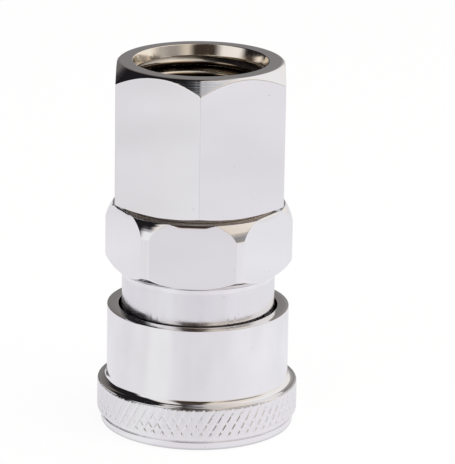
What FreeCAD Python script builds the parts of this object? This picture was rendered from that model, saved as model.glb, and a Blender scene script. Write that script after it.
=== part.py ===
# Female thread quick air coupler, knurled release sleeve down, threaded port up.
# Millimetres. +Z is the axis, the origin is the centre of the mouth end that it stands on.
import FreeCAD
import Part
import math
import os
from FreeCAD import Vector

os.makedirs("parts", exist_ok=True)

# Heights, stacked up from the mouth end of the sleeve
SLEEVE_LENGTH = 19.2
NECK_LENGTH = 7.7
BODY_HEX_HEIGHT = 8.85
WASHER_THICKNESS = 0.65
ADAPTER_LENGTH = 22.1
NOSE_RECESS = 0.6

# Radii, each a step out from the one before
SOCKET_R = 8.0
NOSE_WALL = 2.6
SPRING_ROOM = 1.9
SLEEVE_WALL = 1.8
FLANGE_STEP = 1.5
NECK_PLAY = 0.5
FLAT_STEP = 1.0
CORNER_STEP = 1.65

# Hexagons
BODY_TURN_DEG = -4.2
CROWN_WIDTH = 1.2
CROWN_HEIGHT = 2.75
CROWN_BULGE = 0.18
BASE_CHAMFER_DEG = 40.5
ADAPTER_TURN_DEG = -90.0
CORNER_MARGIN = 0.5
TOP_LAND_STEP = 0.2
TOP_CHAMFER_DEG = 42.5
UNDER_CHAMFER_DEG = 23.0

# Threaded port, a half inch pipe thread of 14 turns to the inch
THREAD_MAJOR_R = 10.48
THREAD_DEPTH = 15.0
MOUTH_CHAMFER = 0.15

# Spigot that screws the adapter into the body, and its flat washer
SPIGOT_LENGTH = 4.1
SPIGOT_WALL = 2.5
SPIGOT_END_CHAMFER = 0.5
WASHER_WIDTH = 1.8
SCREW_GAP = 0.04

# Neck and nose of the body
NECK_ROOT_STEP = 0.55
NECK_ROOT_HEIGHT = 1.45
NOSE_CHAMFER = 0.15
SPRING_STOP_DEPTH = 0.8
SOCKET_DEPTH = 9.4
SOCKET_LEAD = 0.8
NOSE_BORE_R = 6.1
NOSE_BORE_LENGTH = 4.0

# Packing that grips the plug
SEAL_WIDTH = 2.5
SEAL_HEIGHT = 3.0
SEAL_RELIEF = 0.4
SEAL_BEAD = 0.35
SEAL_LIP_HEIGHT = 1.0

# Valve chamber and the spider that guides the stem
SEAT_RIM = 1.0
SEAT_HOLE_STEP = 0.3
SEAT_WIDTH = 2.2
CHAMBER_SHOULDER = 1.4
GUIDE_THICKNESS = 1.8
GUIDE_RING_WALL = 2.4
GUIDE_BOSS_R = 3.4
GUIDE_ARM_WIDTH = 2.2
GUIDE_ARMS = 3

# Locking balls
BALL_COUNT = 8
BALL_R = 2.0
BALL_BITE = 0.9
BALL_ROW_DEPTH = 5.9
BALL_CLEARANCE = 0.03
BALL_SEAT_DEG = 45.0

# Release sleeve
SLEEVE_TRAVEL = 3.6
LOCK_CONE_DEG = 15.0
LOCK_LAND = 1.44
GUIDE_CLEARANCE = 0.05
BALL_POCKET_CLEARANCE = 0.1
RIM_EDGE = 0.15
FLANGE_HEIGHT = 7.05
FLANGE_FILLET = 0.8
FLANGE_EDGE = 0.3
KNURL_RUN_UP = 0.55
LIP_STEP = 0.6
LIP_HEIGHT = 1.35
LIP_GROOVE = 0.12
LIP_GROOVE_WIDTH = 0.25
LIP_ROUND = 0.5

# Diamond knurl
KNURL_GROOVES = 64
KNURL_DEG = 32.0
KNURL_DEPTH = 0.25
KNURL_V_DEG = 90.0

# Stop ring that keeps the sleeve on the nose
RING_DEPTH = 1.8
RING_THICKNESS = 1.2
RING_PROUD = 2.15
RING_GROOVE_DEPTH = 0.6
RING_GAP = 3.0
RING_PLAY = 0.05
RING_RECESS_PLAY = 0.2

# Valve poppet and its seal
POPPET_END_GAP = 0.4
POPPET_SKIRT_PLAY = 0.9
POPPET_SKIRT_WALL = 1.2
POPPET_HEAD_STEP = 1.2
POPPET_HEAD_THICKNESS = 1.6
POPPET_COLLAR_PLAY = 0.3
POPPET_COLLAR_THICKNESS = 0.5
POPPET_SLOT_DEPTH = 1.0
POPPET_SLOT_WIDTH = 3.0
POPPET_SLOTS = 4
POPPET_CAVITY_DEPTH = 2.4
STEM_R = 2.2
STEM_CLEARANCE = 0.04
STEM_RECESS = 0.5
VALVE_TRAVEL = 4.0
STOP_CLEARANCE = 0.1
SEAT_GAP = 0.04
VALVE_SEAL_RISE = 0.4
VALVE_SEAL_HEIGHT = 1.8

# Springs
SLEEVE_WIRE_R = 0.55
SLEEVE_SPRING_PITCH = 2.1
VALVE_WIRE_R = 0.45
VALVE_SPRING_R = 4.6
VALVE_SPRING_PITCH = 2.0
SPRING_END_GAP = 0.02
COIL_STEPS = 24
WIRE_SIDES = 8
CLOSED_TURNS = 0.75

# Radii that follow from those above
HALF = math.sqrt(0.5)
NOSE_R = SOCKET_R + NOSE_WALL
SLEEVE_BORE_R = NOSE_R + SPRING_ROOM
SLEEVE_R = SLEEVE_BORE_R + SLEEVE_WALL
KNURL_R = SLEEVE_R + FLANGE_STEP
LIP_R = KNURL_R - LIP_STEP
NECK_R = SLEEVE_BORE_R - NECK_PLAY
FLAT_R = NECK_R + FLAT_STEP
BODY_CORNER_R = FLAT_R + CORNER_STEP
ADAPTER_CORNER_R = FLAT_R * 2 / math.sqrt(3)
SEAL_OUTER_R = NOSE_BORE_R + SEAL_WIDTH
SEAT_HOLE_R = NOSE_BORE_R + SEAT_HOLE_STEP
CHAMBER_R = SEAT_HOLE_R + SEAT_WIDTH
SPIGOT_R = CHAMBER_R + CHAMBER_SHOULDER
PASSAGE_R = SPIGOT_R - SPIGOT_WALL
POPPET_SKIRT_R = SEAT_HOLE_R - POPPET_SKIRT_PLAY
POPPET_HEAD_R = SEAT_HOLE_R + POPPET_HEAD_STEP
RING_R = NOSE_R + RING_PROUD
GUIDE_LAND_R = NOSE_R + GUIDE_CLEARANCE
BALL_CENTRE_R = SOCKET_R + BALL_R - BALL_BITE
BALL_HOLE_R = BALL_R + BALL_CLEARANCE
LOCK_SLOPE = math.tan(math.radians(LOCK_CONE_DEG))
LOCK_CONE_R = BALL_CENTRE_R + BALL_HOLE_R / math.cos(math.radians(LOCK_CONE_DEG))
BALL_POCKET_R = BALL_CENTRE_R + SLEEVE_TRAVEL * LOCK_SLOPE + BALL_R + BALL_POCKET_CLEARANCE

# Heights that follow from those above
BODY_HEX_BASE_Z = SLEEVE_LENGTH + NECK_LENGTH
BODY_HEX_TOP_Z = BODY_HEX_BASE_Z + BODY_HEX_HEIGHT
ADAPTER_BASE_Z = BODY_HEX_TOP_Z + WASHER_THICKNESS
TOTAL_LENGTH = ADAPTER_BASE_Z + ADAPTER_LENGTH
SPRING_STOP_Z = SLEEVE_LENGTH - SPRING_STOP_DEPTH
SPIGOT_END_Z = ADAPTER_BASE_Z - SPIGOT_LENGTH
GUIDE_BASE_Z = SPIGOT_END_Z - GUIDE_THICKNESS
RING_TOP_Z = NOSE_RECESS + RING_DEPTH
RING_BASE_Z = RING_TOP_Z - RING_THICKNESS
BALL_ROW_Z = NOSE_RECESS + BALL_ROW_DEPTH
LOCK_CONE_TOP_Z = BALL_ROW_Z + (LOCK_CONE_R - GUIDE_LAND_R) / LOCK_SLOPE
LOCK_CONE_BASE_Z = BALL_ROW_Z - (BALL_POCKET_R - LOCK_CONE_R) / LOCK_SLOPE
LAND_TOP_Z = LOCK_CONE_TOP_Z + LOCK_LAND
KNURL_BASE_Z = LIP_HEIGHT + LIP_GROOVE_WIDTH + KNURL_RUN_UP
SOCKET_TOP_Z = NOSE_RECESS + SOCKET_DEPTH
SEAL_BASE_Z = SOCKET_TOP_Z + NOSE_BORE_LENGTH
SEAL_TOP_Z = SEAL_BASE_Z + SEAL_HEIGHT
SEAT_BASE_Z = SEAL_TOP_Z + SEAT_RIM
POPPET_END_Z = SEAL_TOP_Z + POPPET_END_GAP
VALVE_SEAL_BASE_Z = SEAT_BASE_Z + VALVE_SEAL_RISE
VALVE_SEAL_TOP_Z = VALVE_SEAL_BASE_Z + VALVE_SEAL_HEIGHT
HEAD_TOP_Z = VALVE_SEAL_TOP_Z + POPPET_HEAD_THICKNESS


def ring_solid(profile):
    """Closed outline of (radius, height) points turned once round the axis."""
    points = [Vector(r, 0, z) for r, z in profile]
    face = Part.Face(Part.makePolygon(points + points[:1]))
    return face.revolve(Vector(0, 0, 0), Vector(0, 0, 1), 360)


def turned(edges):
    """Closed chain of edges in the XZ plane turned once round the axis."""
    face = Part.Face(Part.Wire(edges))
    return face.revolve(Vector(0, 0, 0), Vector(0, 0, 1), 360)


def line(a, b):
    return Part.makeLine(Vector(a[0], 0, a[1]), Vector(b[0], 0, b[1]))


def arc(a, middle, b):
    points = [Vector(p[0], 0, p[1]) for p in (a, middle, b)]
    return Part.Arc(*points).toShape()


def chain(points):
    """Straight edges through the points, in order."""
    return [line(a, b) for a, b in zip(points[:-1], points[1:])]


def tube(outer_r, inner_r, base_z, top_z):
    return ring_solid([(inner_r, base_z), (outer_r, base_z), (outer_r, top_z), (inner_r, top_z)])


def disc(radius, base_z, top_z):
    return Part.makeCylinder(radius, top_z - base_z, Vector(0, 0, base_z))


def hexagon(corner_deg):
    """Six-sided prism of the common width across flats, one corner in the given direction."""
    corners = []
    for i in range(7):
        a = math.radians(corner_deg + 60 * i)
        corners.append(Vector(ADAPTER_CORNER_R * math.cos(a), ADAPTER_CORNER_R * math.sin(a), 0))
    return Part.Face(Part.makePolygon(corners)).extrude(Vector(0, 0, TOTAL_LENGTH))


def around(shape, count, start_deg=0.0):
    """Copies of a shape set evenly round the axis."""
    copies = []
    for i in range(count):
        copy = shape.copy()
        copy.rotate(Vector(0, 0, 0), Vector(0, 0, 1), start_deg + 360.0 * i / count)
        copies.append(copy)
    return copies


def coil_spring(mean_r, wire_r, pitch, base_z, top_z):
    """Compression spring of eight-sided wire whose end turns lie closed."""
    turns = (top_z - base_z) / pitch
    low = base_z + wire_r
    closed_rise = 2 * wire_r * CLOSED_TURNS
    open_rise = top_z - wire_r - low - 2 * closed_rise
    sections = []
    for i in range(round(turns * COIL_STEPS) + 1):
        turn = i / COIL_STEPS
        first = min(turn / CLOSED_TURNS, 1.0)
        last = min(max((turn - turns) / CLOSED_TURNS + 1.0, 0.0), 1.0)
        middle = min(max((turn - CLOSED_TURNS) / (turns - 2 * CLOSED_TURNS), 0.0), 1.0)
        z = low + closed_rise * (first + last) + open_rise * middle
        a = 2 * math.pi * turn
        section = []
        for k in range(WIRE_SIDES + 1):
            b = 2 * math.pi * (k + 0.5) / WIRE_SIDES
            r = mean_r + wire_r * math.cos(b)
            section.append(Vector(r * math.cos(a), r * math.sin(a), z + wire_r * math.sin(b)))
        sections.append(Part.makePolygon(section))
    return Part.makeLoft(sections, True, True)


def thread_adapter():
    """Long hexagonal nut, bored to the thread's major diameter, with a spigot below."""
    blank_r = ADAPTER_CORNER_R + CORNER_MARGIN
    land_r = FLAT_R - TOP_LAND_STEP
    top_drop = (blank_r - land_r) * math.tan(math.radians(TOP_CHAMFER_DEG))
    under_rise = (blank_r - FLAT_R) * math.tan(math.radians(UNDER_CHAMFER_DEG))
    thread_end_z = TOTAL_LENGTH - THREAD_DEPTH
    blank = ring_solid([
        (PASSAGE_R, SPIGOT_END_Z),
        (SPIGOT_R - SPIGOT_END_CHAMFER, SPIGOT_END_Z),
        (SPIGOT_R - SCREW_GAP, SPIGOT_END_Z + SPIGOT_END_CHAMFER),
        (SPIGOT_R - SCREW_GAP, ADAPTER_BASE_Z),
        (FLAT_R, ADAPTER_BASE_Z),
        (blank_r, ADAPTER_BASE_Z + under_rise),
        (blank_r, TOTAL_LENGTH - top_drop),
        (land_r, TOTAL_LENGTH),
        (THREAD_MAJOR_R + MOUTH_CHAMFER, TOTAL_LENGTH),
        (THREAD_MAJOR_R, TOTAL_LENGTH - MOUTH_CHAMFER),
        (THREAD_MAJOR_R, thread_end_z),
        (PASSAGE_R, thread_end_z - (THREAD_MAJOR_R - PASSAGE_R)),
    ])
    return blank.common(hexagon(ADAPTER_TURN_DEG))


def adapter_washer():
    return tube(SPIGOT_R + WASHER_WIDTH, SPIGOT_R, BODY_HEX_TOP_Z, ADAPTER_BASE_Z)


def ball_hole():
    """Hole drilled from outside, with a conical seat that lies against the ball."""
    angle = math.radians(BALL_SEAT_DEG)
    apex = -BALL_HOLE_R / math.sin(angle)
    seat_top = apex + BALL_HOLE_R / math.tan(angle)
    drill = ring_solid([(0, apex), (BALL_HOLE_R, seat_top), (BALL_HOLE_R, NOSE_R), (0, NOSE_R)])
    drill.rotate(Vector(0, 0, 0), Vector(0, 1, 0), 90)
    drill.translate(Vector(BALL_CENTRE_R, 0, BALL_ROW_Z))
    return drill


def main_body():
    """Turned body: nose, neck and crowned hexagon, bored for plug, seal and valve."""
    crown_r = BODY_CORNER_R - CROWN_WIDTH
    crown_z = BODY_HEX_TOP_Z - CROWN_HEIGHT
    crown_chord = math.hypot(CROWN_WIDTH, CROWN_HEIGHT)
    crown_mid = (
        BODY_CORNER_R - CROWN_WIDTH / 2 + CROWN_BULGE * CROWN_HEIGHT / crown_chord,
        BODY_HEX_TOP_Z - CROWN_HEIGHT / 2 + CROWN_BULGE * CROWN_WIDTH / crown_chord,
    )
    ledge_drop = CORNER_STEP * math.tan(math.radians(BASE_CHAMFER_DEG))
    ledge_z = BODY_HEX_BASE_Z - ledge_drop
    ring_groove_r = NOSE_R - RING_GROOVE_DEPTH
    ring_groove_z = RING_BASE_Z - RING_PLAY
    lead_r = SOCKET_R + SOCKET_LEAD
    outside = chain([
        (lead_r, NOSE_RECESS),
        (NOSE_R - NOSE_CHAMFER, NOSE_RECESS),
        (NOSE_R, NOSE_RECESS + NOSE_CHAMFER),
        (NOSE_R, ring_groove_z),
        (ring_groove_r, ring_groove_z),
        (ring_groove_r, RING_TOP_Z),
        (NOSE_R, RING_TOP_Z),
        (NOSE_R, SPRING_STOP_Z),
        (NECK_R, SPRING_STOP_Z),
        (NECK_R, ledge_z - NECK_ROOT_HEIGHT),
        (NECK_R + NECK_ROOT_STEP, ledge_z),
        (FLAT_R, ledge_z),
        (BODY_CORNER_R, BODY_HEX_BASE_Z),
        (BODY_CORNER_R, crown_z),
    ])
    crown = arc((BODY_CORNER_R, crown_z), crown_mid, (crown_r, BODY_HEX_TOP_Z))
    inside = chain([
        (crown_r, BODY_HEX_TOP_Z),
        (SPIGOT_R, BODY_HEX_TOP_Z),
        (SPIGOT_R, GUIDE_BASE_Z),
        (CHAMBER_R, GUIDE_BASE_Z),
        (CHAMBER_R, SEAT_BASE_Z + SEAT_WIDTH),
        (SEAT_HOLE_R, SEAT_BASE_Z),
        (SEAT_HOLE_R, SEAL_TOP_Z),
        (SEAL_OUTER_R, SEAL_TOP_Z),
        (SEAL_OUTER_R, SEAL_BASE_Z),
        (NOSE_BORE_R, SEAL_BASE_Z),
        (NOSE_BORE_R, SOCKET_TOP_Z),
        (SOCKET_R, SOCKET_TOP_Z),
        (SOCKET_R, NOSE_RECESS + SOCKET_LEAD),
        (lead_r, NOSE_RECESS),
    ])
    blank = turned(outside + [crown] + inside)
    shaped = blank.common(hexagon(BODY_TURN_DEG))
    return shaped.cut(around(ball_hole(), BALL_COUNT))


def stop_ring():
    """Open spring ring in the groove of the nose."""
    ring = tube(RING_R, NOSE_R - RING_GROOVE_DEPTH, RING_BASE_Z, RING_TOP_Z)
    corner = Vector(0, -RING_GAP / 2, RING_BASE_Z)
    opening = Part.makeBox(RING_R, RING_GAP, RING_THICKNESS, corner)
    return ring.cut(opening)


def knurl_cutter(tilt_deg):
    """V prism that leans by the helix angle; flat lands stay between neighbours."""
    root_r = KNURL_R - KNURL_DEPTH
    reach_r = KNURL_R + KNURL_DEPTH
    half_width = (reach_r - root_r) * math.tan(math.radians(KNURL_V_DEG / 2))
    half_length = FLANGE_HEIGHT - LIP_HEIGHT
    section = [
        Vector(root_r, 0, -half_length),
        Vector(reach_r, half_width, -half_length),
        Vector(reach_r, -half_width, -half_length),
        Vector(root_r, 0, -half_length),
    ]
    prism = Part.Face(Part.makePolygon(section)).extrude(Vector(0, 0, 2 * half_length))
    prism.rotate(Vector(0, 0, 0), Vector(1, 0, 0), tilt_deg)
    prism.translate(Vector(0, 0, (FLANGE_HEIGHT + KNURL_BASE_Z) / 2))
    return prism


def release_sleeve():
    """Sleeve with a flat rim, a knurled flange and the locking cone inside."""
    recess_r = RING_R + RING_RECESS_PLAY
    stop_z = RING_TOP_Z + RING_PLAY / 2
    groove_r = LIP_R - LIP_GROOVE
    groove_top_z = LIP_HEIGHT + LIP_GROOVE_WIDTH
    foot_r = LIP_R - LIP_ROUND
    foot_mid = (foot_r + LIP_ROUND * HALF, LIP_ROUND * (1 - HALF))
    fillet_r = SLEEVE_R + FLANGE_FILLET
    fillet_z = FLANGE_HEIGHT + FLANGE_FILLET
    fillet_mid = (fillet_r - FLANGE_FILLET * HALF, fillet_z - FLANGE_FILLET * HALF)
    foot = arc((foot_r, 0), foot_mid, (LIP_R, LIP_ROUND))
    flange = chain([
        (LIP_R, LIP_ROUND),
        (LIP_R, LIP_HEIGHT),
        (groove_r, LIP_HEIGHT),
        (groove_r, groove_top_z),
        (LIP_R, groove_top_z),
        (KNURL_R, KNURL_BASE_Z),
        (KNURL_R, FLANGE_HEIGHT - FLANGE_EDGE),
        (KNURL_R - FLANGE_EDGE, FLANGE_HEIGHT),
        (fillet_r, FLANGE_HEIGHT),
    ])
    fillet = arc((fillet_r, FLANGE_HEIGHT), fillet_mid, (SLEEVE_R, fillet_z))
    barrel = chain([
        (SLEEVE_R, fillet_z),
        (SLEEVE_R, SLEEVE_LENGTH - RIM_EDGE),
        (SLEEVE_R - RIM_EDGE, SLEEVE_LENGTH),
        (SLEEVE_BORE_R, SLEEVE_LENGTH),
        (SLEEVE_BORE_R, LAND_TOP_Z),
        (GUIDE_LAND_R, LAND_TOP_Z),
        (GUIDE_LAND_R, LOCK_CONE_TOP_Z),
        (BALL_POCKET_R, LOCK_CONE_BASE_Z),
        (BALL_POCKET_R, stop_z),
        (recess_r, stop_z),
        (recess_r, 0),
        (foot_r, 0),
    ])
    blank = turned([foot] + flange + [fillet] + barrel)
    half_step = 180.0 / KNURL_GROOVES
    for tilt in (KNURL_DEG, -KNURL_DEG):
        blank = blank.cut(around(knurl_cutter(tilt), KNURL_GROOVES, half_step))
    return blank


def locking_ball():
    return Part.makeSphere(BALL_R, Vector(BALL_CENTRE_R, 0, BALL_ROW_Z))


def plug_seal():
    """Rubber packing with a sealing lip towards the valve."""
    bore_r = NOSE_BORE_R + SEAL_RELIEF
    lip_r = NOSE_BORE_R - SEAL_BEAD
    lip_base_z = SEAL_TOP_Z - SEAL_LIP_HEIGHT
    return ring_solid([
        (bore_r, SEAL_BASE_Z),
        (SEAL_OUTER_R, SEAL_BASE_Z),
        (SEAL_OUTER_R, SEAL_TOP_Z),
        (bore_r, SEAL_TOP_Z),
        (lip_r, SEAL_TOP_Z - SEAL_BEAD),
        (lip_r, lip_base_z),
        (bore_r, lip_base_z - SEAL_BEAD),
    ])


def valve_guide():
    """Three-armed spider clamped under the spigot; its long boss stops the poppet."""
    boss_base_z = HEAD_TOP_Z + VALVE_TRAVEL + STOP_CLEARANCE
    outer_r = SPIGOT_R - SCREW_GAP
    rim = tube(outer_r, outer_r - GUIDE_RING_WALL, GUIDE_BASE_Z, SPIGOT_END_Z)
    boss = disc(GUIDE_BOSS_R, boss_base_z, SPIGOT_END_Z)
    arm_start = Vector(0, -GUIDE_ARM_WIDTH / 2, GUIDE_BASE_Z)
    arm = Part.makeBox(outer_r - GUIDE_RING_WALL / 2, GUIDE_ARM_WIDTH, GUIDE_THICKNESS, arm_start)
    spider = rim.fuse([boss] + around(arm, GUIDE_ARMS, 90))
    hole = disc(STEM_R + STEM_CLEARANCE, boss_base_z, SPIGOT_END_Z)
    return spider.cut(hole).removeSplitter()


def valve_poppet():
    """Brass poppet: slotted skirt, collar, head and long stem."""
    collar_r = SEAT_HOLE_R - POPPET_COLLAR_PLAY
    collar_base_z = VALVE_SEAL_BASE_Z - POPPET_COLLAR_THICKNESS
    cavity_r = POPPET_SKIRT_R - POPPET_SKIRT_WALL
    cavity_top_z = POPPET_END_Z + POPPET_CAVITY_DEPTH
    stem_end_z = SPIGOT_END_Z - STEM_RECESS
    blank = ring_solid([
        (cavity_r, POPPET_END_Z),
        (POPPET_SKIRT_R, POPPET_END_Z),
        (POPPET_SKIRT_R, collar_base_z),
        (collar_r, collar_base_z),
        (collar_r, VALVE_SEAL_BASE_Z),
        (POPPET_SKIRT_R, VALVE_SEAL_BASE_Z),
        (POPPET_SKIRT_R, VALVE_SEAL_TOP_Z),
        (POPPET_HEAD_R, VALVE_SEAL_TOP_Z),
        (POPPET_HEAD_R, HEAD_TOP_Z),
        (STEM_R, HEAD_TOP_Z),
        (STEM_R, stem_end_z),
        (0, stem_end_z),
        (0, cavity_top_z),
        (cavity_r, cavity_top_z),
    ])
    slot_start = Vector(0, -POPPET_SLOT_WIDTH / 2, POPPET_END_Z)
    slot = Part.makeBox(2 * POPPET_SKIRT_R, POPPET_SLOT_WIDTH, POPPET_SLOT_DEPTH, slot_start)
    return blank.cut(around(slot, POPPET_SLOTS, 45))


def valve_seal():
    """Rubber ring with a 45 degree face that closes on the seat."""
    gap = SEAT_GAP / HALF
    base_r = SEAT_HOLE_R + VALVE_SEAL_RISE - gap
    return ring_solid([
        (POPPET_SKIRT_R, VALVE_SEAL_BASE_Z),
        (base_r, VALVE_SEAL_BASE_Z),
        (POPPET_HEAD_R, VALVE_SEAL_BASE_Z + POPPET_HEAD_R - base_r),
        (POPPET_HEAD_R, VALVE_SEAL_TOP_Z),
        (POPPET_SKIRT_R, VALVE_SEAL_TOP_Z),
    ])


def sleeve_spring():
    mean_r = (NOSE_R + SLEEVE_BORE_R) / 2
    base_z = LAND_TOP_Z + SPRING_END_GAP
    top_z = SPRING_STOP_Z - SPRING_END_GAP
    return coil_spring(mean_r, SLEEVE_WIRE_R, SLEEVE_SPRING_PITCH, base_z, top_z)


def valve_spring():
    base_z = HEAD_TOP_Z + SPRING_END_GAP
    top_z = GUIDE_BASE_Z - SPRING_END_GAP
    return coil_spring(VALVE_SPRING_R, VALVE_WIRE_R, VALVE_SPRING_PITCH, base_z, top_z)


pieces = {
    "thread_adapter": thread_adapter(),
    "adapter_washer": adapter_washer(),
    "main_body": main_body(),
    "stop_ring": stop_ring(),
    "plug_seal": plug_seal(),
    "valve_guide": valve_guide(),
    "valve_poppet": valve_poppet(),
    "valve_seal": valve_seal(),
    "valve_spring": valve_spring(),
    "release_sleeve": release_sleeve(),
    "sleeve_spring": sleeve_spring(),
}
for number, ball in enumerate(around(locking_ball(), BALL_COUNT), 1):
    pieces["locking_ball_%d" % number] = ball

for node, shape in pieces.items():
    print(node, "valid", shape.isValid(), "volume %.2f" % shape.Volume, "solids", len(shape.Solids))
    shape.exportStep("parts/%s.step" % node)
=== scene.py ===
# %% [markdown]
# A quick air coupler joins an air hose to a tool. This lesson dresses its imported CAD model:
# a chrome-plated body, a long hexagonal port with an internal pipe thread, a spring-loaded
# sleeve with a knurled flange, a ring of steel balls, and a brass valve behind a rubber seal.
# The model comes in first, as a frame that never moves, and every new surface is laid on it.

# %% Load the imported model
import math

import bmesh
import bpy
import numpy as np
from mathutils import Matrix, Vector


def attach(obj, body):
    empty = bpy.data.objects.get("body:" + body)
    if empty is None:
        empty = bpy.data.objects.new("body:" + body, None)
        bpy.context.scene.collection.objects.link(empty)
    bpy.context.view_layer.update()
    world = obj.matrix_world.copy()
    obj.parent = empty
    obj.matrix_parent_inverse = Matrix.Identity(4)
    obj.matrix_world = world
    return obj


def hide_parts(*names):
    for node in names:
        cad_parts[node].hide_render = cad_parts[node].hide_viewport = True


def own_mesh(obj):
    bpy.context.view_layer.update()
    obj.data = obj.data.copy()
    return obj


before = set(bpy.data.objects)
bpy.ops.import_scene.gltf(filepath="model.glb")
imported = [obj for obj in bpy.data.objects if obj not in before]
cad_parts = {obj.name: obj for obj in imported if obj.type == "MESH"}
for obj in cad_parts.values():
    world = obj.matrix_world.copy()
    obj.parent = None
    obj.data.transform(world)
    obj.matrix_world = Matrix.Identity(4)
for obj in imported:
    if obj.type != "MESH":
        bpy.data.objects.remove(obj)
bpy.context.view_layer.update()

MM = 0.001

# %% [markdown]
# The camera stands where the photographer's did. A long lens half a metre away keeps the
# hexagons nearly parallel. The picture leans by three quarters of a degree, and the coupler
# stands left of the middle, which a small shift of the lens gives without turning the view.

# %% Camera
IMAGE_W, IMAGE_H = 455, 464
SENSOR_MM = 36.0
FOCAL_PX = 3200.0
DISTANCE = 500.52 * MM
TARGET = Vector((0.0, 0.0, 30.39 * MM))
ELEVATION = math.radians(16.83)
ROLL = math.radians(0.747)
SEEN_X, SEEN_Y = 198.82, 234.63

ahead = Vector((0.0, math.cos(ELEVATION), -math.sin(ELEVATION)))
upward = Vector((0.0, math.sin(ELEVATION), math.cos(ELEVATION)))
across = Vector((1.0, 0.0, 0.0))
lens_x = across * math.cos(ROLL) + upward * math.sin(ROLL)
lens_y = upward * math.cos(ROLL) - across * math.sin(ROLL)
stand = TARGET - ahead * DISTANCE

camera_data = bpy.data.cameras.new("product_camera")
camera_data.sensor_width = SENSOR_MM
camera_data.lens = FOCAL_PX / IMAGE_H * SENSOR_MM
camera_data.shift_x = (IMAGE_W / 2 - SEEN_X) / IMAGE_H
camera_data.shift_y = (SEEN_Y - IMAGE_H / 2) / IMAGE_H
camera_data.clip_start = 10 * MM
camera = bpy.data.objects.new("product_camera", camera_data)
camera.matrix_world = Matrix((
    (lens_x.x, lens_y.x, -ahead.x, stand.x),
    (lens_x.y, lens_y.y, -ahead.y, stand.y),
    (lens_x.z, lens_y.z, -ahead.z, stand.z),
    (0.0, 0.0, 0.0, 1.0),
))
bpy.context.scene.collection.objects.link(camera)
bpy.context.scene.camera = camera
print("lens %.1f mm, shift %.4f %.4f" % (camera_data.lens, camera_data.shift_x, camera_data.shift_y))

# %% [markdown]
# Every finish is a small tree of shader nodes. One helper adds a node with its settings and
# links, and one turns a hex colour, as a painter's chart gives it, into linear light. Nearly
# every finish here lets a soft noise choose its shade and its roughness, so two short helpers
# do that.

# %% Helpers for colours and shader nodes
def linear(code):
    """sRGB hex to linear RGBA: c/12.92 below 0.04045, else ((c + 0.055)/1.055) to the power 2.4."""
    c = np.array([int(code[i:i + 2], 16) for i in (0, 2, 4)]) / 255.0
    c = np.where(c <= 0.04045, c / 12.92, ((c + 0.055) / 1.055) ** 2.4)
    return (*c.tolist(), 1.0)


def add(tree, kind, settings=(), **links):
    """Adds a node. Settings fill its properties or sockets. Links feed its sockets by name, or
    by number where the name is an underscore and a number."""
    item = tree.nodes.new(kind)
    for key, value in dict(settings).items():
        if isinstance(key, str) and hasattr(item, key):
            setattr(item, key, value)
        else:
            item.inputs[key].default_value = value
    for key, source in links.items():
        socket = int(key[1:]) if key.startswith("_") else key
        tree.links.new(source, item.inputs[socket])
    return item


def new_finish(name, metallic=0.0):
    """A material with an empty tree, its Principled shader and its Object coordinates."""
    finish = bpy.data.materials.new(name)
    finish.use_nodes = True
    tree = finish.node_tree
    tree.nodes.clear()
    shader = add(tree, "ShaderNodeBsdfPrincipled", {"Metallic": metallic})
    add(tree, "ShaderNodeOutputMaterial", Surface=shader.outputs["BSDF"])
    place = add(tree, "ShaderNodeTexCoord").outputs["Object"]
    return finish, tree, shader, place


def vary_colour(tree, shader, share, first, second):
    """Base colour from the first hex colour to the second as the share goes from 0 to 1."""
    shade = add(tree, "ShaderNodeMix", {"data_type": "RGBA", 6: linear(first), 7: linear(second)},
                _0=share)
    tree.links.new(shade.outputs[2], shader.inputs["Base Color"])


def vary_roughness(tree, shader, share, smooth, rough, start=0.0, stop=1.0):
    """Roughness from smooth to rough as the share goes from start to stop."""
    gloss = add(tree, "ShaderNodeMapRange", {"From Min": start, "From Max": stop, "To Min": smooth,
                                            "To Max": rough}, Value=share)
    tree.links.new(gloss.outputs[0], shader.inputs["Roughness"])


print("white is", linear("FFFFFF"))

# %% [markdown]
# Polished chromium plating is almost a mirror. What tells the eye that it is metal and not
# glass is a faint waviness left by the polishing wheel and a slightly uneven gloss. A metallic
# base colour near white, a low roughness that a soft noise varies, and a very small bump give
# that. The waves are 2.4 mm wide and the polishing grain about 0.2 mm, drawn coarse to show.
# Lathe marks under the plating show only where the metal leans or lies flat: on chamfers,
# crowns and end faces. They are 0.5 mm apart, coarser than real ones, so that they show.

# %% Polished chrome
DUST_MM, DUST_CODE = 0.55, "6E6C70"
DRAWN_OUT = 0.22


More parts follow.
